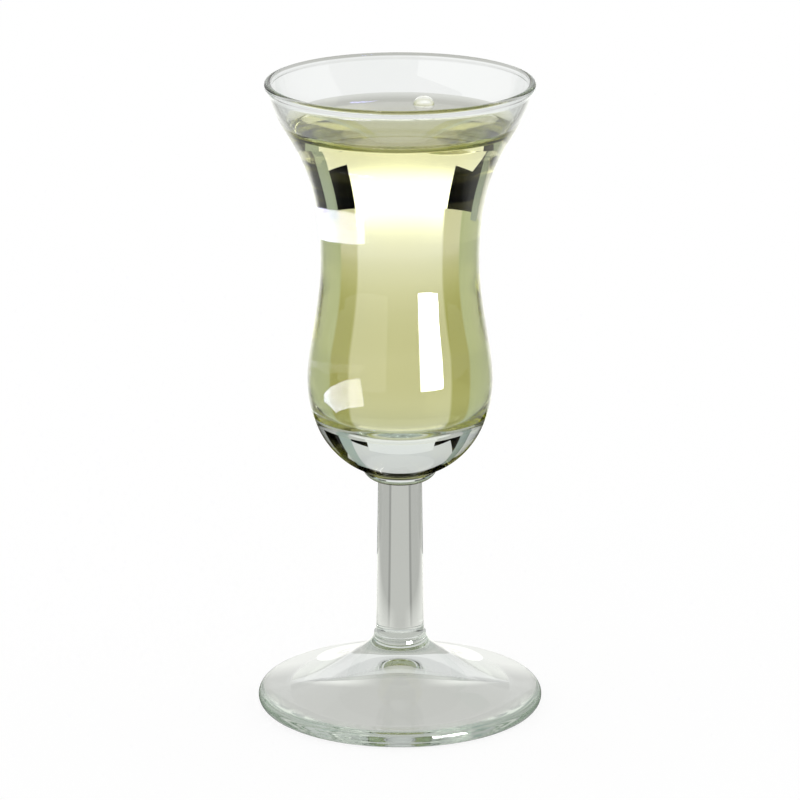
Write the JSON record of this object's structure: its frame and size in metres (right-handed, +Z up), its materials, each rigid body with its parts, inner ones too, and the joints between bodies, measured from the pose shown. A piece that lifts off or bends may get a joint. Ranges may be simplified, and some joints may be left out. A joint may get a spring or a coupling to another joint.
{
  "type": "cordial glass",
  "caption": "Stemmed cordial glass with a flared tulip bowl on a thick base, a tapered solid stem, a round foot and a pale drink in the bowl.",
  "frame": {"origin": "on the table, under the middle of the foot", "axes": "+Z up along the axis of the stem, from the foot to the rim; the glass is round, so X and Y are free"},
  "size_m": [0.0602, 0.0602, 0.135],
  "materials": {
    "clear_glass": "polished clear glass with a faint green cast at its edges",
    "cordial": "clear pale yellow-green liquid"
  },
  "bodies": {
    "root": {"bowl": "clear_glass", "stem": "clear_glass", "foot": "clear_glass", "drink": "cordial"}
  },
  "joints": []
}
